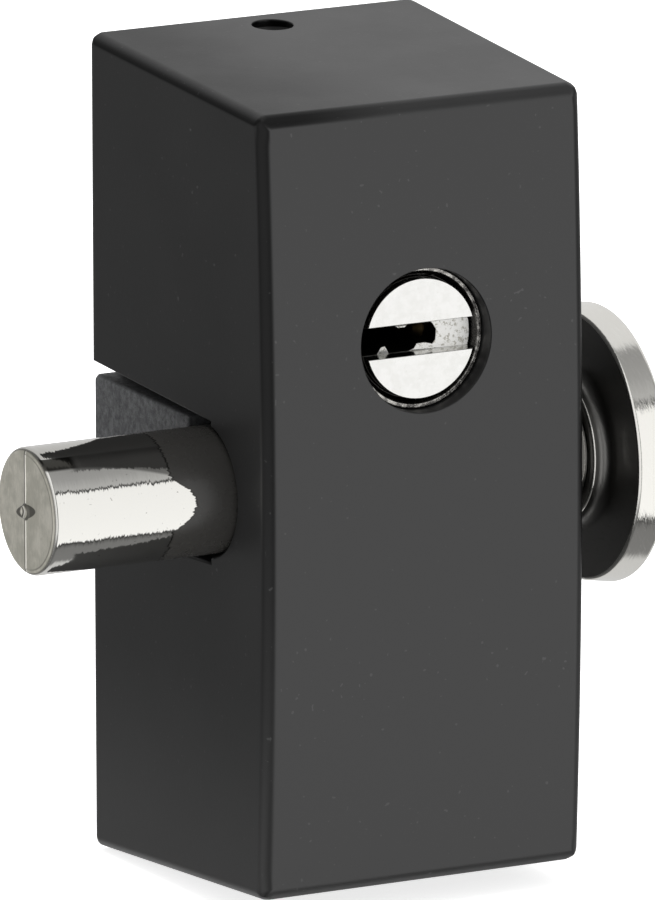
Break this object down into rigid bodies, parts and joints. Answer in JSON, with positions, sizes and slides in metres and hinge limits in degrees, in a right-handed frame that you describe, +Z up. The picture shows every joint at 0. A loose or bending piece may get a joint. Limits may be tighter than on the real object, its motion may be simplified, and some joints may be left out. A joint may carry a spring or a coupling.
{
  "type": "keyed sliding-bolt door lock",
  "caption": "Surface-mounted block lock: a round bolt slides through a tapered black housing by a disc knob, and a key cylinder in the front blocks it.",
  "frame": {"origin": "on the mounting face, centred across its width, at the height of the bolt's axis", "axes": "+X along the bolt from its nose to the knob, +Y back into the door through the mounting face, +Z up the long side"},
  "size_m": [0.0543, 0.0319, 0.07],
  "materials": {
    "housing_coat": "satin black powder coat",
    "raw_casting": "rough, unpainted zinc die casting",
    "plate_steel": "zinc plated steel plate",
    "dark_steel": "black oxide steel",
    "plain_steel": "plain steel",
    "spring_steel": "bright spring steel",
    "bolt_nickel": "polished nickel plating",
    "knob_nickel": "brushed nickel plating",
    "plug_nickel": "polished nickel plating",
    "barrel_nickel": "nickel plated brass, worn at the rim",
    "brass": "turned brass",
    "nylon": "natural nylon"
  },
  "bodies": {
    "lock_case": {"housing": "housing_coat", "base_plate": "plate_steel", "carrier": "raw_casting", "carrier_screws": "dark_steel", "grub_screws": "dark_steel", "cylinder_barrel": "barrel_nickel", "barrel_screw": "dark_steel", "spring_cover": "brass", "brake_pad": "nylon", "brake_spring": "spring_steel", "brake_screw": "dark_steel", "driver_pin_1": "brass", "driver_pin_2": "brass", "driver_pin_3": "brass", "driver_pin_4": "brass", "driver_spring_1": "spring_steel", "driver_spring_2": "spring_steel", "driver_spring_3": "spring_steel", "driver_spring_4": "spring_steel"},
    "bolt_assembly": {"bolt": "bolt_nickel", "locking_dog": "plain_steel", "dog_screw": "plain_steel", "knob": "knob_nickel", "knob_screw": "plain_steel"},
    "key_plug": {"plug": "plug_nickel", "plug_circlip": "spring_steel", "locking_cam": "plain_steel", "cam_washer": "spring_steel", "cam_screw": "plain_steel", "key_pin_1": "brass", "key_pin_2": "brass", "key_pin_3": "brass", "key_pin_4": "brass"}
  },
  "joints": [
    {"name": "bolt_slide", "type": "slide", "parent": "lock_case", "child": "bolt_assembly", "axis": [1, 0, 0], "range_m": [0, 0.016]},
    {"name": "key_turn", "type": "hinge", "parent": "lock_case", "child": "key_plug", "pos_m": [0, -0.02, 0.0131], "axis": [0, 1, 0], "range_deg": [0, 90]}
  ]
}
